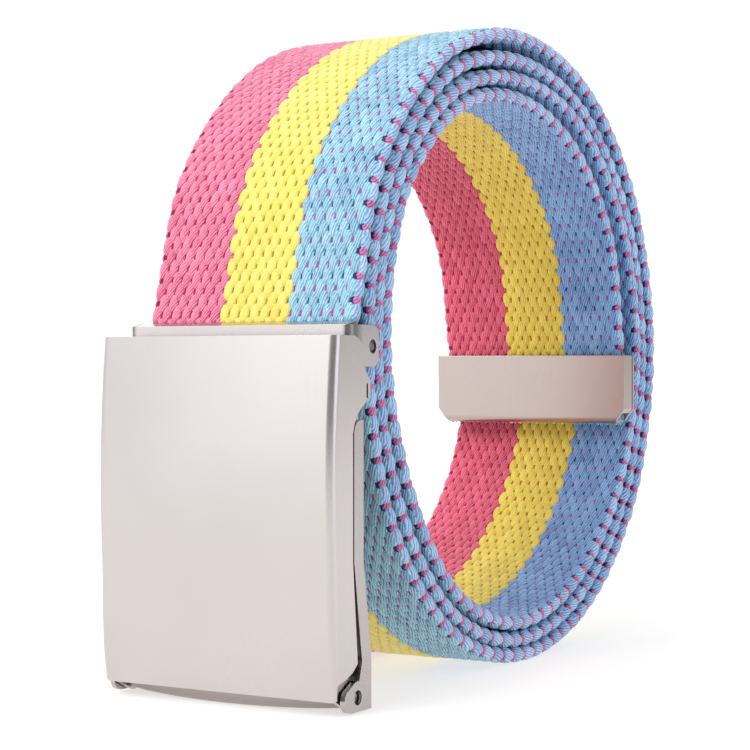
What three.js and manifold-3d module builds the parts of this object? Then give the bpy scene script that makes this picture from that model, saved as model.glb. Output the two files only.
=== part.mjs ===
// Canvas web belt, coiled and standing on its edge, with a flip-top plate buckle and a metal tip.
// Millimetres. X runs across the web, the buckle faces -Y and Z is up. The origin lies under the
// middle of the coil, on the flat stretch of web that it rests on.

import * as THREE from 'three';
import * as BufferGeometryUtils from 'three/addons/utils/BufferGeometryUtils.js';
import Module from 'manifold-3d';

const wasm = await Module();
wasm.setup();

// Web
const web_width = 38;
const web_thick = 2.2;
const coil_radius = 54.1;          // from the middle of the coil to the outer lap's mid-thickness
const foot_squash = 0.3;           // how far the outer lap is flattened where it rests
const lap_steps = 72;              // straight facets in one full lap

// Play between pieces
const clearance = 0.3;
const edge_play = 0.4;             // beside each edge of the web, inside the buckle

// Buckle sheet metal
const sheet = 0.8;
const plate_gap = 1.3;             // between the web and the frame's plate
const plate_step = 2.2;            // the plate's set towards the coil at its hinge end
const frame_band = 2.6;            // side wall that shows behind the cover's flange
const wall_round = 1.9;            // rounding of the side wall's top
const tuck_reach = 3.6;            // inner side walls, in front of the plate's rear face
const cover_rise_top = 8.2;        // cover's face in front of the plate's rear face, at its top,
const cover_rise_middle = 9.4;     // at mid-length
const cover_rise_low = 7.0;        // and at its low edge
const cover_crown = 0.9;           // set-back of the face at its long edges
const cover_crown_from = 4;        // the crown grows between these heights above the hinge axis
const cover_crown_to = 18;
const cover_fillet = 1.35;         // along the cover's two long edges
const cover_corner = 1.2;          // lower corners of the cover, seen from the front

// Heights along the buckle, from the hinge axis
const hinge_z = 2.35;              // the hinge axis itself, above the floor
const cover_top = 52.6;
const cover_low = 0.15;            // below the hinge axis
const bend_high = 19.8;
const bend_low = 5.1;
const wall_top = 40.3;
const plate_top = 52.75;
const plate_low = 1.6;             // below the hinge axis
const clamp_low = 48.05;
const clamp_top = 54.85;
const web_end = 42.75;

// Rear edge of the cover's flange at its clamp end, as [behind the straight stretch, below the top]
const flange_end = [
  [0.35, 0], [1.5, 0.4], [2.8, 1.4], [3.4, 2.6], [3.3, 4.5], [3.9, 5.6], [4.8, 6.6],
  [4.9, 8.2], [4.3, 9.2], [3.1, 10.1], [1.5, 11.2], [0.45, 12.8], [0, 14.2],
];
const detent_back = 3.75;          // slot in the flange's bump, behind the straight stretch
const detent_drop = 7.0;           // its top below the cover's top
const detent_width = 0.45;
const detent_length = 2.1;

// Low end of the cover's flange, as [in front of the hinge axis, above it]
const flange_foot = [[0, 4.95], [1.35, 3.8], [3.3, 2.95], [5.2, 2.55]];

// Hinge
const hinge_set = 1.6;             // hinge axis in front of the plate's rear face at its top
const hinge_pin_radius = 0.8;
const hinge_pin_sunk = 0.6;        // pin's ends inside the ears' outer faces
const ear_radius = 2.05;
const ear_nose_reach = 3.65;       // from the hinge axis to the front of the ear
const ear_nose_radius = 1.8;
const lug_radius = 2.1;
const lug_reach = 5.4;             // height of the cover's lug on the inside of the face
const lug_sink = 0.6;              // how deep the lug sits in the face, as a share of the sheet

// Lock bar, a barrel round the hinge pin with a nose towards the cover
const lock_radius = 2.3;
const lock_taper = 0.65;           // less radius at its ends
const lock_nose = 2.1;             // from the hinge axis to the middle of the nose's rounding
const lock_play = 0.5;             // beside each end

// Clamp
const clamp_pin_radius = 0.75;
const clamp_pin_drop = 3.8;        // pin's axis below the top of the clamp bar
const clamp_pin_dome = 0.3;
const clamp_bend = 1.2;            // outer rounding between the strip and the ears
const clamp_ear_corner = 1.4;
const clamp_ear_drop = 0.6;        // the ears' top edge below the lip's

// Tip
const tip_sheet = 0.6;
const tip_room = 0.7;              // between the web's face and the sheet
const tip_height = 12.9;
const tip_drop = 1.4;              // its top edge below the middle of the coil
const tip_notch_width = 2.0;
const tip_notch_height = 2.7;
const tip_slit = 0.4;              // between the folded side and the back plate

// Side profile of the coil, seen from +X. A row is a direction from the middle of the coil, in
// degrees from the buckle up over the top. radius is the outer lap, as a share of coil_radius, and
// the gaps are the air inside each lap, as shares of web_thick.
const pin_room = 2 * (clamp_pin_radius + clearance) / web_thick;
const coil_rows = [
  { at: 0,   radius: 1.028, gap_1: pin_room, gap_2: 0.18, gap_3: 0.18 },
  { at: 30,  radius: 1.017, gap_1: 0.41, gap_2: 0.18, gap_3: 0.18 },
  { at: 60,  radius: 0.994, gap_1: 0.45, gap_2: 0.45, gap_3: 0.23 },
  { at: 90,  radius: 0.974, gap_1: 0.86, gap_2: 0.45, gap_3: 0.55 },
  { at: 120, radius: 0.983, gap_1: 0.91, gap_2: 0.32, gap_3: 1.32 },
  { at: 150, radius: 1.002, gap_1: 0.91, gap_2: 0.23, gap_3: 1.86 },
  { at: 180, radius: 1.011, gap_1: 0.77, gap_2: 0.23, gap_3: 2.41 },
  { at: 210, radius: 1.006, gap_1: 0.55, gap_2: 0.55, gap_3: 0 },
  { at: 240, radius: 0.989, gap_1: 0.41, gap_2: 0.50, gap_3: 0 },
  { at: 270, radius: 0.982, gap_1: 0.32, gap_2: 0.32, gap_3: 0 },
  { at: 300, radius: 0.974, gap_1: 0.23, gap_2: 0.50, gap_3: 0 },
  { at: 330, radius: 0.965, gap_1: 0.50, gap_2: 0.68, gap_3: 0 },
];
const laps = 3.5;

// Radius of the web's mid-thickness on a row of the table, in lap 0, 1, 2 or 3.
function lapRadius(row, lap) {
  const gaps = [row.gap_1, row.gap_2, row.gap_3].slice(0, lap).reduce((sum, g) => sum + g, 0);
  return row.radius * coil_radius - (lap + gaps) * web_thick;
}

// Places that follow from the sizes
const half_web = web_width / 2;
const inner_wall = half_web + edge_play;
const outer_wall = inner_wall + sheet + clearance;
const half_buckle = outer_wall + sheet;
const foot_row = coil_rows.find((row) => row.at === 270);
const coil_rise = foot_row.radius * coil_radius + web_thick / 2 - foot_squash;
const web_y = -lapRadius(coil_rows[0], 0);
const plate_y = web_y - web_thick / 2 - plate_gap;
const strip_y = plate_y - sheet - clearance;
const hinge_y = plate_y - hinge_set;
const clamp_pin_y = web_y + web_thick / 2 + clearance + clamp_pin_radius;
const clamp_pin_z = hinge_z + clamp_top - clamp_pin_drop;
const tip_y = lapRadius(coil_rows.find((row) => row.at === 180), 3);
const tip_low_z = coil_rise - tip_drop - tip_height;
const half_tip = half_web + clearance + tip_sheet;
const half_tip_depth = web_thick / 2 + tip_room + tip_sheet;
const beyond = 5;                  // how far a cutting block runs past what it cuts

const steel = { color: 0xcfcac6, roughness: 0.38, metalness: 0.9 };
const cloth = { color: 0x6f9fd0, roughness: 0.9, metalness: 0.0 };
const dark_steel = { color: 0x6e6a68, roughness: 0.45, metalness: 0.9 };

// Outlines are [y, z] points, run along X.
const along_x = new THREE.Matrix4().makeBasis(
  new THREE.Vector3(0, 1, 0), new THREE.Vector3(0, 0, 1), new THREE.Vector3(1, 0, 0));
// Outlines are [x, z] points, run along -Y.
const along_y = new THREE.Matrix4().makeBasis(
  new THREE.Vector3(1, 0, 0), new THREE.Vector3(0, 0, 1), new THREE.Vector3(0, -1, 0));

function shapeOf(points) {
  return new THREE.Shape(points.map(([a, b]) => new THREE.Vector2(a, b)));
}

function prism(points, from, to, basis = along_x) {
  const geometry = new THREE.ExtrudeGeometry(shapeOf(points), {
    depth: to - from, bevelEnabled: false, steps: 1,
  });
  geometry.translate(0, 0, from);
  geometry.applyMatrix4(basis);
  return geometry;
}

function rod(y, z, radius, from, to, sides = 20) {
  return prism(arc(y, z, radius, 0, 360 - 360 / sides, sides - 1), from, to);
}

// Points of a round stretch, in degrees from +Y towards +Z.
function arc(y, z, radius, from, to, steps = 6) {
  return Array.from({ length: steps + 1 }, (_, i) => {
    const angle = THREE.MathUtils.degToRad(from + (to - from) * i / steps);
    return [y + radius * Math.cos(angle), z + radius * Math.sin(angle)];
  });
}

// A closed skin through rings of equal length, with flat ends.
function loft(rings) {
  const count = rings[0].length;
  const positions = rings.flat(2);
  const index = [];
  for (let r = 0; r + 1 < rings.length; r++) {
    for (let i = 0; i < count; i++) {
      const a = r * count + i;
      const b = r * count + (i + 1) % count;
      index.push(a, b, b + count, a, b + count, a + count);
    }
  }
  const last = (rings.length - 1) * count;
  for (let i = 1; i + 1 < count; i++) {
    index.push(0, i + 1, i);
    index.push(last, last + i, last + i + 1);
  }
  const geometry = new THREE.BufferGeometry();
  geometry.setAttribute('position', new THREE.Float32BufferAttribute(positions, 3));
  geometry.setIndex(index);
  return geometry;
}

function toSolid(geometry) {
  const bare = geometry.clone();
  bare.deleteAttribute('normal');
  bare.deleteAttribute('uv');
  const merged = BufferGeometryUtils.mergeVertices(bare, 1e-4);
  return new wasm.Manifold(new wasm.Mesh({
    numProp: 3,
    vertProperties: new Float32Array(merged.attributes.position.array),
    triVerts: new Uint32Array(merged.index.array),
  }));
}

function toGeometry(solid) {
  const mesh = solid.getMesh();
  const geometry = new THREE.BufferGeometry();
  geometry.setAttribute('position', new THREE.BufferAttribute(mesh.vertProperties, 3));
  geometry.setIndex(new THREE.BufferAttribute(mesh.triVerts, 1));
  geometry.computeVertexNormals();
  return geometry;
}

function join(...geometries) {
  return geometries.map(toSolid).reduce((whole, piece) => whole.add(piece));
}

function piece(name, geometry, look) {
  const mesh = new THREE.Mesh(geometry, new THREE.MeshStandardMaterial(look));
  mesh.name = name;
  return mesh;
}

// Both sides of the buckle or tip, from one range of x on the right.
function bothSides(points, from, to) {
  return join(prism(points, from, to), prism(points, -to, -from));
}

// The web's mid-thickness line, from its end in the buckle, round the coil and into the tip.
function webLine() {
  const turns = [];
  for (let lap = 0; lap <= laps; lap++) {
    for (const row of coil_rows) {
      const past = lap + row.at / 360;
      if (past > 0 && past <= laps) {
        const angle = THREE.MathUtils.degToRad(row.at);
        const radius = lapRadius(row, lap);
        const z = coil_rise + radius * Math.sin(angle);
        turns.push(new THREE.Vector3(0, -radius * Math.cos(angle), Math.max(z, web_thick / 2)));
      }
    }
  }
  const leaves_clamp = new THREE.Vector3(0, web_y, hinge_z + clamp_top);
  const curve = new THREE.CatmullRomCurve3([leaves_clamp, ...turns], false, 'centripetal');
  const line = curve.getSpacedPoints(Math.round(laps * lap_steps));
  line.forEach((point) => {
    point.z = Math.max(point.z, web_thick / 2);
  });
  line.unshift(new THREE.Vector3(0, web_y, hinge_z + web_end));
  line.push(new THREE.Vector3(0, tip_y, tip_low_z + tip_sheet + clearance));
  return line;
}

// The line moved sideways by a distance: outwards is positive.
function offsetLine(line, distance) {
  return line.map((point, i) => {
    const before = line[Math.max(i - 1, 0)];
    const after = line[Math.min(i + 1, line.length - 1)];
    const run = new THREE.Vector2(after.y - before.y, after.z - before.z).normalize();
    return [point.y - run.y * distance, Math.max(point.z + run.x * distance, 0)];
  });
}

// A corner triangle of the tip, seen from the front, moved inwards by a distance.
function tipNotch(side, inset) {
  const x = half_tip - inset;
  const z = tip_low_z + inset;
  const slope = tip_notch_height / tip_notch_width;
  return prism([
    [side * (x - tip_notch_width - beyond / slope), z - beyond],
    [side * (x + beyond), z - beyond],
    [side * (x + beyond), z + tip_notch_height + beyond * slope],
  ], -tip_y - half_tip_depth - clearance, -tip_y + half_tip_depth + clearance, along_y);
}

function buildWeb() {
  const line = webLine();
  const outline = [
    ...offsetLine(line, web_thick / 2),
    ...offsetLine(line, -web_thick / 2).reverse(),
  ];
  const whole = toSolid(prism(outline, -half_web, half_web));
  const inset = clearance + tip_sheet;
  const trimmed = whole
    .subtract(toSolid(tipNotch(1, inset)))
    .subtract(toSolid(tipNotch(-1, inset)));
  return piece('web', toGeometry(trimmed), cloth);
}

// Sheet folded round the web's end, with short sides folded back and notched lower corners.
function buildTip() {
  const front = tip_y - half_tip_depth;
  const back = tip_y + half_tip_depth;
  const top = tip_low_z + tip_height;
  const bend = half_tip_depth * 0.5;
  const fold = [
    [front, top],
    ...arc(front + bend, tip_low_z + bend, bend, 180, 270, 4),
    ...arc(back - bend, tip_low_z + bend, bend, 270, 360, 4),
    [back, top],
    [back - tip_sheet, top],
    [back - tip_sheet, tip_low_z + tip_sheet],
    [front + tip_sheet, tip_low_z + tip_sheet],
    [front + tip_sheet, top],
  ];
  const side = [
    [front, top],
    [front, tip_low_z + bend],
    [front + bend, tip_low_z],
    [back - tip_sheet - tip_slit, tip_low_z],
    [back - tip_sheet - tip_slit, top],
  ];
  const whole = join(prism(fold, -half_tip, half_tip))
    .add(bothSides(side, half_tip - tip_sheet, half_tip));
  const notched = whole.subtract(toSolid(tipNotch(1, 0))).subtract(toSolid(tipNotch(-1, 0)));
  return piece('belt_tip', toGeometry(notched), steel);
}

// The rear line shared by the frame's plate and the cover's flanges: how far it has stepped back
// at a height above the hinge axis.
function stepAt(height) {
  return plate_step * THREE.MathUtils.clamp((bend_high - height) / (bend_high - bend_low), 0, 1);
}

function rearLine(offset, heights) {
  return heights.map((height) => [plate_y + offset + stepAt(height), hinge_z + height]);
}

// Plate behind, side walls that show beside the coil, and the two hinge ears.
function buildFrame() {
  const bends = [plate_top, bend_high, bend_low, -plate_low];
  const plate_outline = [...rearLine(0, bends), ...rearLine(-sheet, bends).reverse()];
  const wide_bends = [wall_top - wall_round, bend_high, bend_low, -plate_low];
  const wide_outline = [...rearLine(0, wide_bends), ...rearLine(-sheet, wide_bends).reverse()];
  const wall_high = hinge_z + wall_top - wall_round;
  const wall_outline = [
    [plate_y, hinge_z + wall_top],
    ...rearLine(0, [bend_high, bend_low]),
    [plate_y + plate_step, hinge_z - ear_radius],
    ...arc(hinge_y - ear_nose_reach + ear_nose_radius, hinge_z - ear_radius + ear_nose_radius,
      ear_nose_radius, 270, 135, 6),
    ...arc(hinge_y, hinge_z, lug_radius + clearance, 110, 80, 2),
    ...rearLine(-frame_band, [bend_low, bend_high]),
    ...arc(plate_y - frame_band + wall_round, wall_high, wall_round, 180, 90, 4),
  ];
  const tuck_low = lug_reach + clearance;
  const tuck_high = clamp_low - clearance;
  const tuck_outline = [
    ...rearLine(0, [tuck_high, bend_high, tuck_low]),
    ...rearLine(-tuck_reach, [tuck_low, bend_high]),
    [strip_y - sheet, hinge_z + tuck_high],
  ];
  const bore = rod(hinge_y, hinge_z, hinge_pin_radius + clearance, -half_buckle - 1, half_buckle + 1);
  const whole = join(prism(plate_outline, -inner_wall + clearance, inner_wall - clearance))
    .add(toSolid(prism(wide_outline, -half_buckle, half_buckle)))
    .add(bothSides(wall_outline, outer_wall, half_buckle))
    .add(bothSides(tuck_outline, inner_wall, inner_wall + sheet + clearance / 2))
    .subtract(toSolid(bore));
  return piece('buckle_frame', toGeometry(whole), steel);
}

// Outer face of the cover at a height above the hinge axis: a curve through its three rises.
function coverFace(height) {
  const middle = (cover_top - cover_low) / 2;
  const share = (height - middle) / (cover_top - middle);
  const lean = (cover_rise_top - cover_rise_low) / 2;
  const bow = (cover_rise_top + cover_rise_low) / 2 - cover_rise_middle;
  return plate_y - cover_rise_middle - lean * share - bow * share * share;
}

// How far the cover's face is set back at its long edges, at a height above the hinge axis.
function coverCrown(height) {
  const share = (height - cover_crown_from) / (cover_crown_to - cover_crown_from);
  return cover_crown * THREE.MathUtils.smoothstep(share, 0, 1);
}

// A block with rounded front edges, whose front face and crown may change with height above the
// hinge axis.
function bentBlock({ half, radius, face, crown, rear, low, high, steps }) {
  return loft(Array.from({ length: steps + 1 }, (_, i) => {
    const height = low + (high - low) * i / steps;
    const edge = face(height) + crown(height);
    const left = arc(-half + radius, edge + radius, radius, 180, 270, 5);
    const right = arc(half - radius, edge + radius, radius, 270, 360, 5);
    const between = [-0.75, -0.5, -0.25, 0, 0.25, 0.5, 0.75].map((share) => [
      share * (half - radius), face(height) + crown(height) * share * share,
    ]);
    return [[-half, rear], ...left, ...between, ...right, [half, rear]]
      .map(([x, y]) => [x, y, hinge_z + height]);
  }));
}

function coverBlock(inset, overrun) {
  return bentBlock({
    half: half_buckle - inset,
    radius: cover_fillet - inset,
    face: (height) => coverFace(THREE.MathUtils.clamp(height, -cover_low, cover_top)) + inset,
    crown: coverCrown,
    rear: plate_y + beyond,
    low: -cover_low - overrun,
    high: cover_top + overrun,
    steps: 10,
  });
}

// Domed lid: face, two long fillets and side flanges with a rounded bump at the clamp end.
function buildCover() {
  const flange_y = plate_y - frame_band - clearance;
  const top = hinge_z + cover_top;
  const low = hinge_z - cover_low;
  const far = coverFace(cover_top / 2) - beyond;
  const inside = coverFace(0) + sheet;
  const side_profile = [
    [far, top],
    ...flange_end.map(([back, drop]) => [flange_y + back, top - drop]),
    ...rearLine(-frame_band - clearance, [bend_high]),
    ...flange_foot.map(([ahead, above]) => [hinge_y - ahead, hinge_z + above]),
    [inside, low - beyond],
    [far, low - beyond],
  ];
  const front_profile = [
    [-half_buckle, top],
    ...arc(-half_buckle + cover_corner, low + cover_corner, cover_corner, 180, 270, 5),
    ...arc(half_buckle - cover_corner, low + cover_corner, cover_corner, 270, 360, 5),
    [half_buckle, top],
  ];
  const lug = [
    ...arc(hinge_y, hinge_z, lug_radius, 60, -120, 10),
    [coverFace(0) + sheet * lug_sink, low + clearance],
    [coverFace(lug_reach) + sheet * lug_sink, hinge_z + lug_reach],
    [coverFace(lug_reach) + sheet * (1 + lug_sink), hinge_z + lug_reach],
  ];
  const detent_y = flange_y + detent_back;
  const detent = [
    [detent_y, top - detent_drop], [detent_y, top - detent_drop - detent_length],
    [detent_y + detent_width, top - detent_drop - detent_length],
    [detent_y + detent_width, top - detent_drop],
  ];
  const bore = rod(hinge_y, hinge_z, hinge_pin_radius + clearance, -half_buckle, half_buckle);
  const shell = toSolid(coverBlock(0, 0)).subtract(toSolid(coverBlock(sheet, 2)));
  const whole = shell
    .intersect(toSolid(prism(side_profile, -half_buckle - 1, half_buckle + 1)))
    .intersect(toSolid(prism(front_profile, -plate_y - 2 * beyond, -far + 1, along_y)))
    .subtract(bothSides(detent, inner_wall, half_buckle + 1))
    .add(bothSides(lug, inner_wall, inner_wall + sheet).subtract(toSolid(bore)));
  return piece('buckle_cover', toGeometry(whole), steel);
}

// Barrel round the hinge pin, which nips the strap when the cover is shut. Its nose and its
// radius shrink towards the ends.
function buildLockBar() {
  const half = inner_wall - lock_play;
  const steps = 12;
  const rings = Array.from({ length: steps + 1 }, (_, i) => {
    const x = half * (2 * i / steps - 1);
    const share = (x / half) ** 2;
    const radius = lock_radius - lock_taper * share;
    const nose = hinge_y - lock_nose * Math.sqrt(1 - share * 0.96);
    return [...arc(nose, hinge_z, radius, 90, 270, 8), ...arc(hinge_y, hinge_z, radius, 270, 450, 8)]
      .map(([y, z]) => [x, y, z]);
  });
  const bore = rod(hinge_y, hinge_z, hinge_pin_radius + clearance, -half_buckle, half_buckle);
  const whole = toSolid(loft(rings)).subtract(toSolid(bore));
  return piece('lock_bar', toGeometry(whole), steel);
}

// U-shaped bar over the web's end: a front strip, a lip towards the web, and two ears that the
// pin joins behind the web.
function buildClampBar() {
  const top = hinge_z + clamp_top;
  const low = hinge_z + clamp_low;
  const rear = clamp_pin_y + clamp_pin_radius + clearance * 3;
  const front = strip_y - sheet;
  const corner = clamp_ear_corner;
  const shoulder = top - clamp_ear_drop;
  const outer = inner_wall + sheet;
  const bent = (inset) => toSolid(bentBlock({
    half: outer - inset, radius: clamp_bend - inset, face: () => front + inset, crown: () => 0,
    rear: rear + beyond, low: clamp_low - inset * beyond, high: clamp_top + inset * beyond, steps: 1,
  }));
  const side = [
    [front - 1, low],
    ...arc(rear - corner, low + corner, corner, 270, 360, 4),
    ...arc(rear - corner, shoulder - corner, corner, 0, 90, 4),
    [front - 1, shoulder],
  ];
  const lip = [
    [front + clearance, shoulder - sheet], [plate_y + clearance * 2, shoulder - sheet],
    [plate_y + plate_gap - clearance, top - sheet], [plate_y + plate_gap - clearance, top],
    [front + clearance, shoulder],
  ];
  const bore = rod(clamp_pin_y, clamp_pin_z, clamp_pin_radius + clearance, -outer - 1, outer + 1);
  const whole = bent(0).subtract(bent(sheet))
    .intersect(toSolid(prism(side, -outer - 1, outer + 1)))
    .add(toSolid(prism(lip, -inner_wall - clearance, inner_wall + clearance)))
    .subtract(toSolid(bore));
  return piece('clamp_bar', toGeometry(whole), steel);
}

function buildClampPin() {
  const end = inner_wall + sheet - clamp_pin_dome;
  const dome = [
    [0, clamp_pin_dome], [clamp_pin_radius * 0.6, clamp_pin_dome * 0.75], [clamp_pin_radius, 0],
  ];
  const profile = [
    ...dome.map(([radius, beyond_end]) => new THREE.Vector2(radius, -end - beyond_end)),
    ...dome.reverse().map(([radius, beyond_end]) => new THREE.Vector2(radius, end + beyond_end)),
  ];
  const pin = new THREE.LatheGeometry(profile, 16);
  pin.rotateZ(-Math.PI / 2);
  pin.translate(0, clamp_pin_y, clamp_pin_z);
  return piece('clamp_pin', toGeometry(toSolid(pin)), dark_steel);
}

function buildHingePin() {
  const end = half_buckle - hinge_pin_sunk;
  return piece('hinge_pin', rod(hinge_y, hinge_z, hinge_pin_radius, -end, end), steel);
}

const belt = new THREE.Group();
belt.add(buildWeb(), buildTip());

const buckle = new THREE.Group();
buckle.add(buildFrame(), buildClampBar(), buildClampPin(), buildHingePin(), buildCover(), buildLockBar());
belt.add(buckle);

export default belt;
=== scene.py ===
# Looks of the canvas web belt: woven web, satin buckle and tip, floor, light and camera. Metres.
import math

import bmesh
import bpy
import numpy as np
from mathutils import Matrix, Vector


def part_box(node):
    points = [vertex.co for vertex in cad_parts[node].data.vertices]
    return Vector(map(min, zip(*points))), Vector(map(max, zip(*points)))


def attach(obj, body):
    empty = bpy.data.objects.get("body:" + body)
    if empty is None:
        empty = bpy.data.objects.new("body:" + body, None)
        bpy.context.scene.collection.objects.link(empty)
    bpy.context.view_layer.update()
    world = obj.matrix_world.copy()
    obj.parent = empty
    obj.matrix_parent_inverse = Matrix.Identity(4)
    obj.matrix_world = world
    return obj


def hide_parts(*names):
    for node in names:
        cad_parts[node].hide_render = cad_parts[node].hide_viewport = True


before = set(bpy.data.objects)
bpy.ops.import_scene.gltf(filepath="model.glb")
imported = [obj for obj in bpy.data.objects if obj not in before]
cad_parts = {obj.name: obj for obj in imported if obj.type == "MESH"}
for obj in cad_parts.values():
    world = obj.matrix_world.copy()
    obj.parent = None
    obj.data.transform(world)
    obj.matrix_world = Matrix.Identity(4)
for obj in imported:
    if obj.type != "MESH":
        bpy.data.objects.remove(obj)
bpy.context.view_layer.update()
scene = bpy.context.scene
MM = 0.001

# Sizes of the coil, the same as the solid's
WEB_WIDTH = (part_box("web")[1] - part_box("web")[0]).x
WEB_THICK = 2.2 * MM
COIL_RADIUS = 54.1 * MM
FOOT_SQUASH = 0.3 * MM
LAPS = 3.5
WEB_START_Z = 45.1 * MM
CLAMP_TOP_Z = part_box("clamp_bar")[1].z
TIP_LOW_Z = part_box("belt_tip")[0].z + 0.9 * MM

# A row is a direction from the middle of the coil, in degrees from the buckle over the top:
# the outer lap as a share of COIL_RADIUS, then the air inside each lap as shares of WEB_THICK
COIL_ROWS = {
    0: (1.028, 0.955, 0.18, 0.18),
    30: (1.017, 0.41, 0.18, 0.18),
    60: (0.994, 0.45, 0.45, 0.23),
    90: (0.974, 0.86, 0.45, 0.55),
    120: (0.983, 0.91, 0.32, 1.32),
    150: (1.002, 0.91, 0.23, 1.86),
    180: (1.011, 0.77, 0.23, 2.41),
    210: (1.006, 0.55, 0.55, 0.0),
    240: (0.989, 0.41, 0.50, 0.0),
    270: (0.982, 0.32, 0.32, 0.0),
    300: (0.974, 0.23, 0.50, 0.0),
    330: (0.965, 0.50, 0.68, 0.0),
}
COIL_RISE = COIL_ROWS[270][0] * COIL_RADIUS + WEB_THICK / 2 - FOOT_SQUASH

# Weave: columns of knuckles lie side by side across the web, and every other row is set over by one
ROW_PITCH = 1.88 * MM
COLUMN_PITCH = 0.925 * MM
FIRST_COLUMN_X = -18.5 * MM
STRIPES = {"pink": (1, 14), "yellow": (15, 27), "blue": (28, 39)}
KNUCKLE = (1.92 * MM, 3.5 * MM, 0.56 * MM)
SMOOTH_KNUCKLE = (1.78 * MM, 3.5 * MM, 0.4 * MM)
KNUCKLE_TOP = 1.3 * MM
EDGE_LUMP = (2.3 * MM, 4.2 * MM, 0.85 * MM)
WEFT_TURN = (2.1 * MM, 1.8 * MM, 0.55 * MM)
CORE_HALF = 0.9 * MM
WEFT_RISE = 0.1 * MM
LEAF_DEPTH = 1.5  # a knuckle's full depth, as a multiple of its height
EDGE_COVER = 6.5 * MM
LUMP_SEAT = 18.1 * MM
TURN_SEAT = 18.2 * MM
BARE_END_ROWS = 7
GUIDE_STEP = 0.5 * MM
CURVE_STEPS = 40
CORE_INSET = 0.9 * MM

# Laps past the buckle between which another lap covers a face of the web
OUTER_COVERED_FROM, OUTER_COVERED_TO = 1.02, 3.2
INNER_COVERED_TO = 2.2

# Yarns: dark and light display colours, turns of the ply per mm along and across, and relief.
# The inner face's copies are deeper, which is painted shade, and the blue edge's copy is lighter, which
# is painted light
SLANTWISE, UPRIGHT = (1.3, 2.1), (0.7, 2.3)
YARNS = {
    "pink_yarn": ((184, 44, 84), (242, 146, 178), SLANTWISE, 1.4),
    "yellow_yarn": ((220, 192, 70), (240, 232, 130), SLANTWISE, 0.5),
    "blue_yarn": ((52, 98, 150), (176, 224, 236), UPRIGHT, 1.3),
    "shaded_inner_pink_yarn": ((160, 14, 44), (242, 112, 142), UPRIGHT, 1.3),
    "shaded_inner_yellow_yarn": ((206, 170, 44), (255, 238, 112), UPRIGHT, 1.0),
    "shaded_inner_blue_yarn": ((44, 84, 158), (158, 204, 248), UPRIGHT, 1.3),
    "lit_edge_blue_yarn": ((70, 104, 172), (194, 228, 255), UPRIGHT, 1.3),
    "weft_yarn": ((128, 34, 96), (226, 122, 176), SLANTWISE, 1.6),
}

# Metals: display colour and roughness. Tip, plate and rim are darker, as they look in the photo
METALS = {
    "satin_metal": ((208, 200, 198), 0.24),
    "tip_metal": ((188, 174, 168), 0.3),
    "plate_metal": ((192, 184, 182), 0.28),
    # Painted shade: the lock bar's rim is darker for the shadow it sits in under the cover
    "shaded_rim_metal": ((168, 158, 155), 0.32),
    "clamp_metal": ((208, 200, 198), 0.24),
    "pin_metal": ((120, 112, 108), 0.4),
}

# Painted shade: the bend of the clamp bar looks dark, so this dark colour is laid round it as shade
BEND_PAINTED_SHADE = (104, 98, 97)

# Rounding of the metal's edges
EDGE_SEGMENTS = 2
BEVELLED_FROM = math.radians(35)
JOINED_UP_TO = math.radians(0.6)

# The photograph's view
CAMERA_SPOT = Vector((172.04, -305.86, 50.5)) * MM
CAMERA_YAW = math.radians(30.98)
CAMERA_PITCH = math.radians(0.26)
FOCAL_PIXELS, PICTURE_PIXELS = 1991.1, 750
SENSOR_WIDTH = 36.0
FLOOR_HALF = 8.0


def srgb(red, green, blue):
    """A linear colour from 0 to 255 display values."""
    def linear(value):
        v = value / 255
        return v / 12.92 if v <= 0.04045 else ((v + 0.055) / 1.055) ** 2.4
    return (linear(red), linear(green), linear(blue), 1.0)


class Wire:
    """A node's output. Arithmetic on it adds Math nodes to its tree."""

    def __init__(self, net, socket):
        self.net = net
        self.socket = socket

    def _math(self, operation, *values):
        return self.net.add("ShaderNodeMath", {"operation": operation}, dict(enumerate(values)))

    def __add__(self, other):
        return self._math("ADD", self, other)

    def __radd__(self, other):
        return self._math("ADD", other, self)

    def __sub__(self, other):
        return self._math("SUBTRACT", self, other)

    def __rsub__(self, other):
        return self._math("SUBTRACT", other, self)

    def __mul__(self, other):
        return self._math("MULTIPLY", self, other)

    def __rmul__(self, other):
        return self._math("MULTIPLY", other, self)

    def __truediv__(self, other):
        return self._math("DIVIDE", self, other)

    def __mod__(self, other):
        return self._math("FLOORED_MODULO", self, other)

    def __abs__(self):
        return self._math("ABSOLUTE", self)

    def __neg__(self):
        return self._math("MULTIPLY", self, -1.0)

    def above(self, other):
        return self._math("GREATER_THAN", self, other)

    def below(self, other):
        return self._math("LESS_THAN", self, other)

    def sine(self):
        return self._math("SINE", self)


class Net:
    """A node tree that is filled by one method."""

    def __init__(self, tree):
        self.tree = tree

    def add(self, kind, settings=None, inputs=None, output=0):
        node = self.tree.nodes.new(kind)
        for name, value in (settings or {}).items():
            setattr(node, name, value)
        for key, value in (inputs or {}).items():
            if isinstance(value, Wire):
                self.tree.links.new(value.socket, node.inputs[key])
            else:
                node.inputs[key].default_value = value
        return Wire(self, node.outputs[output]) if len(node.outputs) else node

    def also(self, wire, output):
        """Another output of the node that a wire comes from."""
        return Wire(self, wire.socket.node.outputs[output])

    def attribute(self, name, output="Fac"):
        return self.add("ShaderNodeAttribute", {"attribute_name": name}, output=output)

    def mix(self, factor, a, b, blend="MIX"):
        return self.add("ShaderNodeMix", {"data_type": "RGBA", "blend_type": blend},
                        {0: factor, 6: a, 7: b}, output=2)


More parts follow.
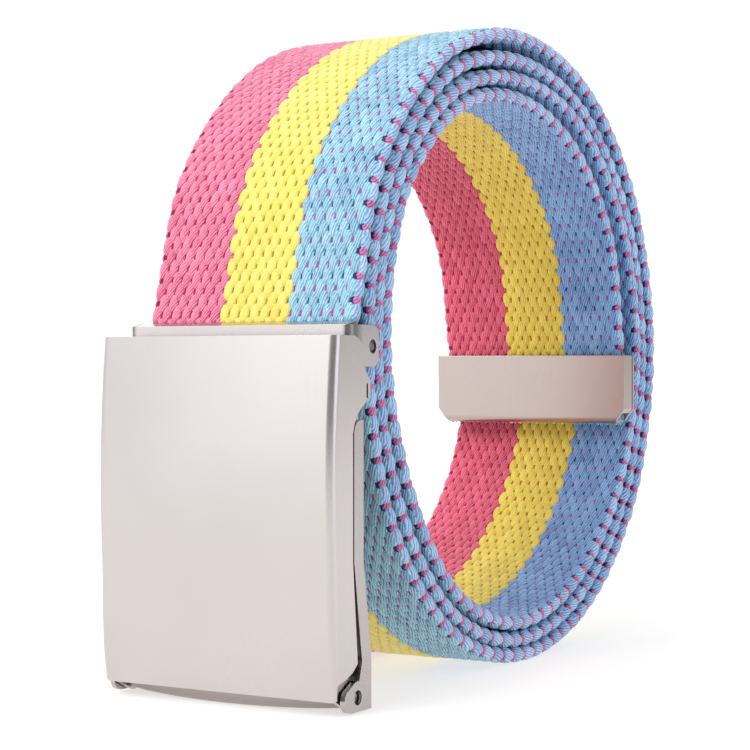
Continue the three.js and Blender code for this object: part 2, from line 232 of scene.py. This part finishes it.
def catmull_rom(points, per_span):
    """A centripetal curve through the points."""
    ends = [2 * points[0] - points[1], *points, 2 * points[-1] - points[-2]]
    line = []
    for a, b, c, d in zip(ends, ends[1:], ends[2:], ends[3:]):
        before, span, after = (np.linalg.norm(v) ** 0.5 for v in (b - a, c - b, d - c))
        leave = ((b - a) / before - (c - a) / (before + span) + (c - b) / span) * span
        arrive = ((c - b) / span - (d - b) / (span + after) + (d - c) / after) * span
        for u in np.arange(per_span) / per_span:
            line.append((2 * u**3 - 3 * u**2 + 1) * b + (u**3 - 2 * u**2 + u) * leave
                        + (3 * u**2 - 2 * u**3) * c + (u**3 - u**2) * arrive)
    return line + [points[-1]]


def lap_radius(at, lap):
    outer, *gaps = COIL_ROWS[at]
    return outer * COIL_RADIUS - (lap + sum(gaps[:lap])) * WEB_THICK


def web_line(step):
    """The web's mid-thickness line as [y, z] at even steps, and how many laps are past at each."""
    turns = []
    for lap in range(4):
        for at in COIL_ROWS:
            if 0 < lap + at / 360 <= LAPS:
                angle, radius = math.radians(at), lap_radius(at, lap)
                height = COIL_RISE + radius * math.sin(angle)
                turns.append([-radius * math.cos(angle), max(height, WEB_THICK / 2)])
    start_y, end_y = -lap_radius(0, 0), lap_radius(180, 3)
    curve = catmull_rom(np.array([[start_y, CLAMP_TOP_Z], *turns]), CURVE_STEPS)
    line = np.array([[start_y, WEB_START_Z], *curve, [end_y, TIP_LOW_Z]])
    line[:, 1] = np.maximum(line[:, 1], WEB_THICK / 2)
    run = np.concatenate([[0], np.cumsum(np.linalg.norm(np.diff(line, axis=0), axis=1))])
    at = np.linspace(0, run[-1], round(run[-1] / step) + 1)
    even = np.column_stack([np.interp(at, run, line[:, i]) for i in (0, 1)])
    turn = np.unwrap(np.arctan2(even[:, 1] - COIL_RISE, -even[:, 0])) / (2 * math.pi)
    return even, turn, run[-1]


def new_object(name, verts, faces, material=None, edges=()):
    mesh = bpy.data.meshes.new(name)
    mesh.from_pydata([tuple(v) for v in verts], list(edges), faces)
    if material:
        mesh.materials.append(material)
    for polygon in mesh.polygons:
        polygon.use_smooth = True
    made = bpy.data.objects.new(name, mesh)
    scene.collection.objects.link(made)
    return made


def give_attribute(mesh, name, values, kind="FLOAT"):
    layer = mesh.attributes.new(name, kind, "POINT")
    field = "vector" if kind == "FLOAT_VECTOR" else "value"
    layer.data.foreach_set(field, np.asarray(values, np.float32).ravel())


def finished(made, body, slot_name, *nodes):
    """Last calls for a piece: what it rides on and what it stands for; its material slot is not used."""
    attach(made, body)
    if nodes:
        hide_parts(*nodes)
    return made


def new_material(name):
    material = bpy.data.materials.new(name)
    material.use_nodes = True
    tree = material.node_tree
    tree.nodes.clear()
    net = Net(tree)
    shader = tree.nodes.new("ShaderNodeBsdfPrincipled")
    output = tree.nodes.new("ShaderNodeOutputMaterial")
    tree.links.new(shader.outputs[0], output.inputs["Surface"])
    return material, net, shader


def feed(net, shader, **sockets):
    """Sets or links the shader's sockets; a name's underscores stand for spaces."""
    for name, value in sockets.items():
        socket = shader.inputs[name.replace("_", " ")]
        if isinstance(value, Wire):
            net.tree.links.new(value.socket, socket)
        else:
            socket.default_value = value


def yarn_material(name):
    """Spun yarn: its plies run slantwise along each knuckle, and no two knuckles match."""
    dark, light, twist, relief = YARNS[name]
    material, net, shader = new_material(name)
    strand = net.attribute("strand", "Vector")
    parts = net.add("ShaderNodeSeparateXYZ", {}, {0: strand})
    across, along = parts, net.also(parts, 1)
    tone = net.attribute("tone")
    place = net.add("ShaderNodeTexCoord", {}, {}, "Object")
    wander = net.add("ShaderNodeTexNoise", {}, {"Vector": place, "Scale": 900.0, "Detail": 2.0})
    phase = along * twist[0] - across * twist[1] + wander * 0.7 + tone * 3.0
    ply = (phase * (2 * math.pi)).sine() * 0.5 + 0.5
    lengthwise = net.add("ShaderNodeCombineXYZ", {}, {0: phase * 6.0, 1: along * 1.6, 2: tone * 40.0})
    fibre = net.add("ShaderNodeTexNoise", {}, {"Vector": lengthwise, "Scale": 1.0, "Detail": 3.0})
    patch = net.add("ShaderNodeTexNoise", {}, {"Vector": place, "Scale": 90.0, "Detail": 2.0})
    # The ply and fibre waves that raise the bump also lighten crests and darken grooves: painted
    # highlight and shade, over the yarn's own random tone and patches
    share = tone * 0.25 + ply * (0.45 * relief) + fibre * 1.4 + patch * 0.3 - 0.7
    height = ply * relief + fibre * 0.5
    bump = net.add("ShaderNodeBump", {}, {"Strength": 0.6, "Distance": 0.0001, "Height": height})
    feed(net, shader, Base_Color=net.mix(share, srgb(*dark), srgb(*light)), Roughness=0.75, Normal=bump,
         Sheen_Weight=0.5, Sheen_Roughness=0.4, Specular_IOR_Level=0.5)
    return material


def core_material():
    """What shows in the slits: weft, with painted shade in the colour of the stripe above it, and lifted
    in every other row.
    """
    material, net, shader = new_material("weft_core")
    place = net.add("ShaderNodeTexCoord", {}, {}, "Object")
    across = net.add("ShaderNodeSeparateXYZ", {}, {0: place})
    pink_end = FIRST_COLUMN_X + (STRIPES["yellow"][0] - 0.5) * COLUMN_PITCH
    yellow_end = FIRST_COLUMN_X + (STRIPES["blue"][0] - 0.5) * COLUMN_PITCH
    second = (net.attribute("row") + 0.5) % 2.0
    magenta_row = second.above(1.0)
    fine = net.add("ShaderNodeTexNoise", {}, {"Vector": place, "Scale": 700.0, "Detail": 1.0})
    amount = magenta_row * (fine * 2.4 - 0.3)
    past_pink, past_yellow = across.above(pink_end), across.above(yellow_end)
    # Each stripe's own colour, darkened as painted shade for the depth of the slits
    plain = net.mix(past_pink, srgb(140, 26, 60), srgb(156, 120, 44))
    plain = net.mix(past_yellow, plain, srgb(44, 54, 96))
    lifted = net.mix(past_pink, srgb(164, 36, 80), srgb(166, 112, 46))
    lifted = net.mix(past_yellow, lifted, srgb(168, 76, 150))
    shade = net.mix(amount, plain, lifted)
    feed(net, shader, Base_Color=shade, Roughness=0.9, Specular_IOR_Level=0.2)
    return material


def leaf_mesh(name, size, fullness=0.6, lean=0.0, flatness=2, across=6, along=5):
    """One float of warp yarn: a low leaf with narrow ends, closed underneath."""
    width, length, height = size
    verts = [(-lean / 2, -length / 2, -height * 0.5)]
    strand = [(0.0, -length / 2 / MM, 0.0)]
    for j in range(1, along):
        v = (j - 0.5) / (along - 1)
        swell = math.sin(math.pi * v) ** fullness
        for i in range(across + 1):
            u = math.sin((i / across - 0.5) * math.pi)
            x, y = u * width / 2 * swell, (v - 0.5) * length
            rise = math.sqrt(max(1 - abs(u) ** flatness, 0)) * 1.25 - 0.25
            verts.append((x + (v - 0.5) * lean, y, height * rise * swell ** 0.6))
            strand.append((x / MM, y / MM, 0.0))
    verts.append((lean / 2, length / 2, -height * 0.5))
    strand.append((0.0, length / 2 / MM, 0.0))
    row = across + 1
    last = len(verts) - 1
    faces = [(0, 2 + i, 1 + i) for i in range(across)]
    for j in range(along - 2):
        for i in range(across):
            a = 1 + j * row + i
            faces.append((a, a + 1, a + 1 + row, a + row))
    top = 1 + (along - 2) * row
    faces += [(last, top + i, top + i + 1) for i in range(across)]
    left = [1 + j * row for j in range(along - 1)]
    right = [1 + j * row + across for j in range(along - 1)]
    faces.append((0, *left, last, *reversed(right)))
    made = new_object(name, verts, faces)
    give_attribute(made.data, "strand", strand, "FLOAT_VECTOR")
    return made


def named_inputs(tree, **sockets):
    """Adds a geometry group's sockets and returns the group input's wires by name."""
    kinds = {float: "NodeSocketFloat", int: "NodeSocketInt", "object": "NodeSocketObject",
             "material": "NodeSocketMaterial"}
    tree.interface.new_socket("Geometry", in_out="OUTPUT", socket_type="NodeSocketGeometry")
    tree.interface.new_socket("Guide", in_out="INPUT", socket_type="NodeSocketGeometry")
    for name, kind in sockets.items():
        tree.interface.new_socket(name, in_out="INPUT", socket_type=kinds[kind])
    node = tree.nodes.new("NodeGroupInput")
    net = Net(tree)
    return net, {socket.name: Wire(net, socket) for socket in node.outputs if socket.name}


def along_guide(net, given, pitch):
    """Points on the guide at a pitch, each with its row number and the direction of the run."""
    curve = net.add("GeometryNodeMeshToCurve", {}, {"Mesh": given["Guide"]})
    trimmed = net.add("GeometryNodeTrimCurve", {"mode": "LENGTH"},
                      {"Curve": curve, 4: given["start"], 5: given["end"]})
    points = net.add("GeometryNodeCurveToPoints", {"mode": "LENGTH"},
                     {"Curve": trimmed, "Length": pitch})
    tangent = net.also(points, "Tangent")
    numbered = net.add("GeometryNodeStoreNamedAttribute", {"data_type": "FLOAT", "domain": "POINT"},
                       {"Geometry": points, "Name": "row",
                        "Value": net.add("GeometryNodeInputIndex")})
    return net.add("GeometryNodeStoreNamedAttribute",
                   {"data_type": "FLOAT_VECTOR", "domain": "POINT"},
                   {"Geometry": numbered, "Name": "run", "Value": tangent})


def read(net, name, kind="FLOAT"):
    return net.add("GeometryNodeInputNamedAttribute", {"data_type": kind}, {"Name": name})


def outward(net, run):
    """The direction away from the coil's middle: across the tangent, in the coil's plane."""
    parts = net.add("ShaderNodeSeparateXYZ", {}, {0: run})
    return net.add("ShaderNodeCombineXYZ", {}, {1: -net.also(parts, 2), 2: net.also(parts, 1)})


def scaled(net, vector, factor):
    return net.add("ShaderNodeVectorMath", {"operation": "SCALE"}, {0: vector, 3: factor})


def plant(net, points, piece, turned, seed, wobble, swell):
    """Stands the piece on the points, each a little turned and sized by chance, as real mesh."""
    chance = net.add("FunctionNodeRandomValue", {"data_type": "FLOAT_VECTOR"},
                     {0: (-wobble,) * 3, 1: (wobble,) * 3, 8: seed})
    size = net.add("FunctionNodeRandomValue", {"data_type": "FLOAT_VECTOR"},
                   {0: (1 - swell,) * 3, 1: (1 + swell,) * 3, 8: seed + 1})
    tilt = net.add("FunctionNodeEulerToRotation", {}, {0: chance})
    rotation = net.add("FunctionNodeRotateRotation", {"rotation_space": "LOCAL"}, {0: turned, 1: tilt})
    shape = net.add("GeometryNodeObjectInfo", {}, {"Object": piece}, "Geometry")
    copies = net.add("GeometryNodeInstanceOnPoints", {},
                     {"Points": points, "Instance": shape, "Rotation": rotation, "Scale": size})
    tone = net.add("FunctionNodeRandomValue", {"data_type": "FLOAT"}, {2: 0.0, 3: 1.0, 8: seed + 2}, 1)
    return net.add("GeometryNodeStoreNamedAttribute", {"data_type": "FLOAT", "domain": "INSTANCE"},
                   {"Geometry": copies, "Name": "tone", "Value": tone})


def close_tree(net, geometry, material):
    real = net.add("GeometryNodeRealizeInstances", {}, {0: geometry})
    coated = net.add("GeometryNodeSetMaterial", {}, {"Geometry": real, "Material": material})
    output = net.tree.nodes.new("NodeGroupOutput")
    net.tree.links.new(coated.socket, output.inputs[0])


def weave_tree():
    """Staggered rows of knuckles over one face of the web, between two columns."""
    tree = bpy.data.node_groups.new("weave", "GeometryNodeTree")
    net, given = named_inputs(
        tree, start=float, end=float, row_pitch=float, column_pitch=float, left=float,
        first=int, last=int, face=float, seat=float, cover=float, edge=float, seed=int,
        knuckle="object", material="material")
    rows = along_guide(net, given, given["row_pitch"])
    amount = (given["last"] - given["first"]) / 2.0 + 1.0
    spread = net.add("GeometryNodeDuplicateElements", {"domain": "POINT"},
                     {"Geometry": rows, "Amount": amount})
    step = net.also(spread, "Duplicate Index")
    row = read(net, "row")
    column = given["first"] + step * 2.0 + (row + given["first"]) % 2.0
    across = given["left"] + column * given["column_pitch"]
    marked = net.add("GeometryNodeStoreNamedAttribute", {"data_type": "FLOAT", "domain": "POINT"},
                     {"Geometry": spread, "Name": "across", "Value": across})
    across = read(net, "across")
    beyond = across.above(given["left"] + (given["last"] + 0.5) * given["column_pitch"])
    inner = abs(across).below(given["edge"] - given["cover"])
    covered = read(net, "shown").below(0.5) * inner
    kept = net.add("GeometryNodeDeleteGeometry", {"domain": "POINT"},
                   {"Geometry": marked, "Selection": (beyond + covered).above(0.5)})
    run = read(net, "run", "FLOAT_VECTOR")
    away = scaled(net, outward(net, run), given["face"])
    offset = net.add("ShaderNodeVectorMath", {"operation": "ADD"}, {
        0: scaled(net, away, given["seat"]),
        1: net.add("ShaderNodeCombineXYZ", {}, {0: across}),
    })
    placed = net.add("GeometryNodeSetPosition", {}, {"Geometry": kept, "Offset": offset})
    turned = net.add("FunctionNodeAxesToRotation", {"primary_axis": "Y", "secondary_axis": "Z"},
                     {0: run, 1: away})
    planted = plant(net, placed, given["knuckle"], turned, given["seed"], wobble=0.07, swell=0.05)
    close_tree(net, planted, given["material"])
    return tree


def selvage_tree():
    """A chain of pieces along one edge of the web, one on every other row of the weave."""
    tree = bpy.data.node_groups.new("selvage", "GeometryNodeTree")
    net, given = named_inputs(
        tree, start=float, end=float, row_pitch=float, first_row=float, last_row=float, odd=float,
        across=float, seat=float, seed=int, link="object", material="material")
    rows = along_guide(net, given, given["row_pitch"])
    row = read(net, "row")
    outside = row.below(given["first_row"]) + row.above(given["last_row"])
    skipped = abs(row % 2.0 - given["odd"]).above(0.5)
    kept = net.add("GeometryNodeDeleteGeometry", {"domain": "POINT"},
                   {"Geometry": rows, "Selection": (outside + skipped).above(0.5)})
    run = read(net, "run", "FLOAT_VECTOR")
    side = net.add("ShaderNodeCombineXYZ", {}, {0: given["across"]})
    offset = net.add("ShaderNodeVectorMath", {"operation": "ADD"},
                     {0: side, 1: scaled(net, outward(net, run), given["seat"])})
    placed = net.add("GeometryNodeSetPosition", {}, {"Geometry": kept, "Offset": offset})
    turned = net.add("FunctionNodeAxesToRotation", {"primary_axis": "Y", "secondary_axis": "Z"},
                     {0: run, 1: side})
    planted = plant(net, placed, given["link"], turned, given["seed"], wobble=0.1, swell=0.06)
    close_tree(net, planted, given["material"])
    return tree


def grown(name, guide, tree, **values):
    """Runs a tree on a copy of the guide and keeps the result as a plain mesh."""
    carrier = guide.copy()
    carrier.data = guide.data.copy()
    scene.collection.objects.link(carrier)
    modifier = carrier.modifiers.new("tree", "NODES")
    modifier.node_group = tree
    for item in tree.interface.items_tree:
        if item.in_out == "INPUT" and item.name in values:
            modifier[item.identifier] = values[item.name]
    bpy.context.view_layer.update()
    graph = bpy.context.evaluated_depsgraph_get()
    mesh = bpy.data.meshes.new_from_object(carrier.evaluated_get(graph),
                                           preserve_all_data_layers=True, depsgraph=graph)
    mesh.name = name
    for polygon in mesh.polygons:
        polygon.use_smooth = True
    bpy.data.objects.remove(carrier)
    made = bpy.data.objects.new(name, mesh)
    scene.collection.objects.link(made)
    return made


def shown_faces(turn, face):
    """1 where a face of the web can be seen in full, by laps past; else only its edges show."""
    if face > 0:
        return (turn < OUTER_COVERED_FROM) | (turn > OUTER_COVERED_TO)
    return turn > INNER_COVERED_TO


def new_guide(line):
    """The web's line as a chain of edges, for the trees to set their points on."""
    verts = [(0.0, y, z) for y, z in line]
    return new_object("guide", verts, [], edges=[(i, i + 1) for i in range(len(line) - 1)])


def build_web():
    """Knuckles over both faces, lumps and turns of weft along both edges, and the core between."""
    line, turn, length = web_line(GUIDE_STEP)
    twisted = leaf_mesh("twisted_knuckle", KNUCKLE, fullness=0.5, lean=0.3 * MM)
    plain = leaf_mesh("plain_knuckle", KNUCKLE, fullness=0.5)
    smooth = leaf_mesh("smooth_knuckle", SMOOTH_KNUCKLE, fullness=0.36, lean=0.2 * MM, flatness=5)
    lump = leaf_mesh("edge_lump", EDGE_LUMP)
    weft_turn = leaf_mesh("weft_turn", WEFT_TURN, fullness=0.5, across=4, along=4)
    looks = {
        ("pink", 1): (twisted, yarn_material("pink_yarn")),
        ("yellow", 1): (smooth, yarn_material("yellow_yarn")),
        ("blue", 1): (plain, yarn_material("blue_yarn")),
        # The inner face's yarns are darker copies of the outer ones: painted shade
        ("pink", -1): (plain, yarn_material("shaded_inner_pink_yarn")),
        ("yellow", -1): (plain, yarn_material("shaded_inner_yellow_yarn")),
        ("blue", -1): (plain, yarn_material("shaded_inner_blue_yarn")),
    }
    # The blue edge's yarn is a lighter copy of the blue: painted light
    edges = {"pink": looks["pink", 1][1], "blue": yarn_material("lit_edge_blue_yarn")}
    magenta = yarn_material("weft_yarn")
    weave, selvage = weave_tree(), selvage_tree()
    run = {"start": 0.0, "end": length - GUIDE_STEP, "row_pitch": ROW_PITCH}
    for face, face_name in ((1, "outer"), (-1, "inner")):
        guide = new_guide(line)
        give_attribute(guide.data, "shown", shown_faces(turn, face))
        for seed, (stripe, (first, last)) in enumerate(STRIPES.items()):
            knuckle, yarn = looks[stripe, face]
            seat = KNUCKLE_TOP - knuckle.dimensions.z / LEAF_DEPTH
            piece = grown(f"web_{stripe}_{face_name}", guide, weave, **run,
                          column_pitch=COLUMN_PITCH, left=FIRST_COLUMN_X, first=first, last=last,
                          face=float(face), seat=seat, cover=EDGE_COVER, edge=-FIRST_COLUMN_X,
                          seed=10 * seed + face + 2, knuckle=knuckle, material=yarn)
            finished(piece, "frame", f"web_{stripe}", "web")
        bpy.data.objects.remove(guide)
    guide = new_guide(line)
    last_row = float(int(length / ROW_PITCH) - BARE_END_ROWS)
    ends = {"first_row": float(BARE_END_ROWS), "last_row": last_row}
    for side, stripe in ((1, "blue"), (-1, "pink")):
        chain = grown(f"selvage_{stripe}", guide, selvage, **run, **ends, odd=1.0,
                      across=side * LUMP_SEAT, seat=0.0, seed=40 + side, link=lump,
                      material=edges[stripe])
        finished(chain, "frame", f"web_{stripe}", "web")
        turns = grown(f"weft_turns_{stripe}", guide, selvage, **run, **ends, odd=0.0,
                      across=side * TURN_SEAT, seat=0.0, seed=50 + side, link=weft_turn,
                      material=magenta)
        finished(turns, "frame", "web_pink", "web")
    bpy.data.objects.remove(guide)
    for stand_in in (twisted, plain, smooth, lump, weft_turn):
        bpy.data.objects.remove(stand_in)
    build_core(line, length)


def build_core(line, length):
    """The tight inside of the web, which shows only in the slits between knuckles."""
    run = np.gradient(line, axis=0)
    run /= np.linalg.norm(run, axis=1)[:, None]
    out = np.column_stack([-run[:, 1], run[:, 0]])
    half = WEB_WIDTH / 2 - CORE_INSET
    verts, faces = [], []
    rows = np.linspace(0, length / ROW_PITCH, len(line))
    for (y, z), (oy, oz), row in zip(line, out, rows):
        reach = CORE_HALF + WEFT_RISE * (0.5 - 0.5 * math.cos(math.pi * row))
        for x, side in ((-half, reach), (half, reach), (half, -reach), (-half, -reach)):
            verts.append((x, y + oy * side, z + oz * side))
    for i in range(len(line) - 1):
        for j in range(4):
            a, b = 4 * i + j, 4 * i + (j + 1) % 4
            faces.append((a, b, b + 4, a + 4))
    faces.append((3, 2, 1, 0))
    last = 4 * (len(line) - 1)
    faces.append((last, last + 1, last + 2, last + 3))
    core = new_object("web_core", verts, faces, core_material())
    give_attribute(core.data, "row", np.repeat(rows, 4))
    for polygon in core.data.polygons:
        polygon.use_smooth = False
    finished(core, "frame", "web_pink", "web")


def smooth_rise(net, value, start, full, amount=1.0):
    """Nothing at the start, and the whole amount at full."""
    return net.add("ShaderNodeMapRange", {"interpolation_type": "SMOOTHSTEP"},
                   {"Value": value, "From Min": start, "From Max": full, "To Max": amount})


def metal_material(name, bent_node=None):
    """Satin plate: fine blasted grain and slow clouding, and painted shade at the corners where a bar is
    bent round.
    """
    colour, roughness = METALS[name]
    tint = srgb(*colour)
    material, net, shader = new_material(name)
    place = net.add("ShaderNodeTexCoord", {}, {}, "Object")
    grain = net.add("ShaderNodeTexNoise", {}, {"Vector": place, "Scale": 5200.0, "Detail": 2.0})
    cloud = net.add("ShaderNodeTexNoise", {}, {"Vector": place, "Scale": 60.0, "Detail": 3.0})
    stretched = net.add("ShaderNodeMapping", {}, {"Vector": place, "Scale": (2400.0, 2400.0, 160.0)})
    brush = net.add("ShaderNodeTexNoise", {}, {"Vector": stretched, "Scale": 1.0, "Detail": 2.0})
    rough = roughness + (grain - 0.5) * 0.10 + (cloud - 0.5) * 0.10 + (brush - 0.5) * 0.06
    dim = tuple(c * 0.9 for c in tint[:3]) + (1.0,)
    bump = net.add("ShaderNodeBump", {}, {"Strength": 0.12, "Distance": 0.00004,
                                          "Height": grain + brush * 0.5})
    shade = net.mix(cloud, dim, tint)
    # Painted shade in a dark colour round the bend of the bar
    if bent_node:
        low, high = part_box(bent_node)
        parts = net.add("ShaderNodeSeparateXYZ", {}, {0: place})
        behind = smooth_rise(net, net.also(parts, 1), low.y + 4.0 * MM, low.y + 1.4 * MM)
        beside = smooth_rise(net, abs(parts), high.x - 1.6 * MM, high.x - 0.7 * MM)
        shade = net.mix(behind * beside * 0.75, shade, srgb(*BEND_PAINTED_SHADE))
    feed(net, shader, Base_Color=shade, Metallic=1.0, Roughness=rough, Normal=bump)
    return material


def softened(node, width, material):
    """A piece with the CAD solid's form, its flat faces joined up and its edges rounded."""
    made = bpy.data.objects.new(f"{node}_metal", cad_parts[node].data.copy())
    scene.collection.objects.link(made)
    shape = bmesh.new()
    shape.from_mesh(made.data)
    bmesh.ops.remove_doubles(shape, verts=shape.verts, dist=1e-6)
    bmesh.ops.dissolve_limit(shape, angle_limit=JOINED_UP_TO, verts=shape.verts, edges=shape.edges)
    bmesh.ops.recalc_face_normals(shape, faces=shape.faces)
    shape.to_mesh(made.data)
    shape.free()
    made.data.materials.clear()
    made.data.materials.append(material)
    for polygon in made.data.polygons:
        polygon.use_smooth = True
    bevel = made.modifiers.new("edges", "BEVEL")
    bevel.width = width
    bevel.segments = EDGE_SEGMENTS
    bevel.limit_method = "ANGLE"
    bevel.angle_limit = BEVELLED_FROM
    bevel.use_clamp_overlap = True
    bevel.harden_normals = False
    weighted = made.modifiers.new("normals", "WEIGHTED_NORMAL")
    weighted.keep_sharp = True
    return made


def build_metal():
    """The buckle and the tip. Their solids already have the form, so only edges and finish are added."""
    satin = metal_material("satin_metal")
    own = {
        "belt_tip": metal_material("tip_metal"),
        "buckle_frame": metal_material("plate_metal"),
        "lock_bar": metal_material("shaded_rim_metal"),
        "clamp_bar": metal_material("clamp_metal", "clamp_bar"),
    }
    for node, body, width in (
        ("belt_tip", "frame", 0.12 * MM), ("buckle_frame", "frame", 0.12 * MM),
        ("clamp_bar", "frame", 0.15 * MM), ("hinge_pin", "frame", 0.15 * MM),
        ("buckle_cover", "cover", 0.18 * MM), ("lock_bar", "cover", 0.12 * MM),
    ):
        finished(softened(node, width, own.get(node, satin)), body, "satin_metal", node)
    pin = softened("clamp_pin", 0.1 * MM, metal_material("pin_metal"))
    finished(pin, "frame", "pin_metal", "clamp_pin")


def sun(name, towards, strength, spread, colour=(1.0, 1.0, 1.0)):
    """A wide soft light from one side, even over the whole floor."""
    data = bpy.data.lights.new(name, "SUN")
    data.energy = strength
    data.color = colour
    data.angle = math.radians(spread)
    lamp = bpy.data.objects.new(name, data)
    scene.collection.objects.link(lamp)
    lamp.rotation_euler = Vector(towards).to_track_quat("Z", "Y").to_euler()


def build_stage():
    """Three soft suns and a mid-grey floor that glows, so that it looks white with faint shadows."""
    floor_material, net, shader = new_material("floor")
    place = net.add("ShaderNodeTexCoord", {}, {}, "Object")
    cloud = net.add("ShaderNodeTexNoise", {}, {"Vector": place, "Scale": 3.0, "Detail": 2.0})
    feed(net, shader, Base_Color=net.mix(cloud, srgb(158, 156, 155), srgb(162, 160, 159)), Roughness=0.9,
         Emission_Color=srgb(255, 253, 252), Emission_Strength=0.65)
    half = FLOOR_HALF
    corners = [(-half, -half, 0), (half, -half, 0), (half, half, 0), (-half, half, 0)]
    floor = new_object("floor", corners, [(0, 1, 2, 3)], floor_material)
    sun("key", (-0.15, -0.78, 0.62), strength=2.2, spread=30)
    sun("top", (0.1, 0.2, 1.0), strength=0.45, spread=70)
    sun("right", (0.9, 0.1, 0.4), strength=1.1, spread=60, colour=(0.82, 0.86, 1.0))
    build_surroundings()
    scene.view_settings.view_transform = "Standard"


def build_surroundings():
    """White to the camera alone. The belt sees a bright panel on the left and dim light elsewhere."""
    world = bpy.data.worlds.new("studio")
    world.use_nodes = True
    world.node_tree.nodes.clear()
    net = Net(world.node_tree)
    towards = net.add("ShaderNodeTexCoord", {}, {}, "Generated")

    def rise(direction, start, full, amount):
        facing = net.add("ShaderNodeVectorMath", {"operation": "DOT_PRODUCT"},
                         {0: towards, 1: Vector(direction).normalized()}, "Value")
        return smooth_rise(net, facing, start, full, amount)

    panel = rise((-1, 0, 0), 0.08, 0.34, 1.42) - rise((-1, 0, 0), 0.4, 0.95, 0.6)
    sky = rise((0, 0, 1), 0.25, 0.9, 0.15)
    behind = rise((0.5, 0.85, 0), 0.5, 0.95, 0.26)
    seen = net.add("ShaderNodeLightPath", {}, {}, "Is Camera Ray")
    strength = seen * 1.1 + (1.0 - seen) * (panel + sky + behind + 0.22)
    glow = net.add("ShaderNodeBackground", {}, {0: (0.94, 0.98, 1.0, 1.0), 1: strength})
    output = net.tree.nodes.new("ShaderNodeOutputWorld")
    net.tree.links.new(glow.socket, output.inputs["Surface"])
    scene.world = world


def build_camera():
    """The photograph's view, worked out from both edges of the coiled web."""
    yaw, pitch = CAMERA_YAW, CAMERA_PITCH
    data = bpy.data.cameras.new("camera")
    camera = bpy.data.objects.new("camera", data)
    scene.collection.objects.link(camera)
    data.sensor_width = SENSOR_WIDTH
    data.lens = SENSOR_WIDTH * FOCAL_PIXELS / PICTURE_PIXELS
    data.clip_start = 0.01
    back = Vector((math.sin(yaw) * math.cos(pitch), -math.cos(yaw) * math.cos(pitch), math.sin(pitch)))
    camera.location = CAMERA_SPOT
    camera.rotation_euler = (-back).to_track_quat("-Z", "Y").to_euler()
    scene.camera = camera


build_camera()
build_web()
build_metal()
build_stage()
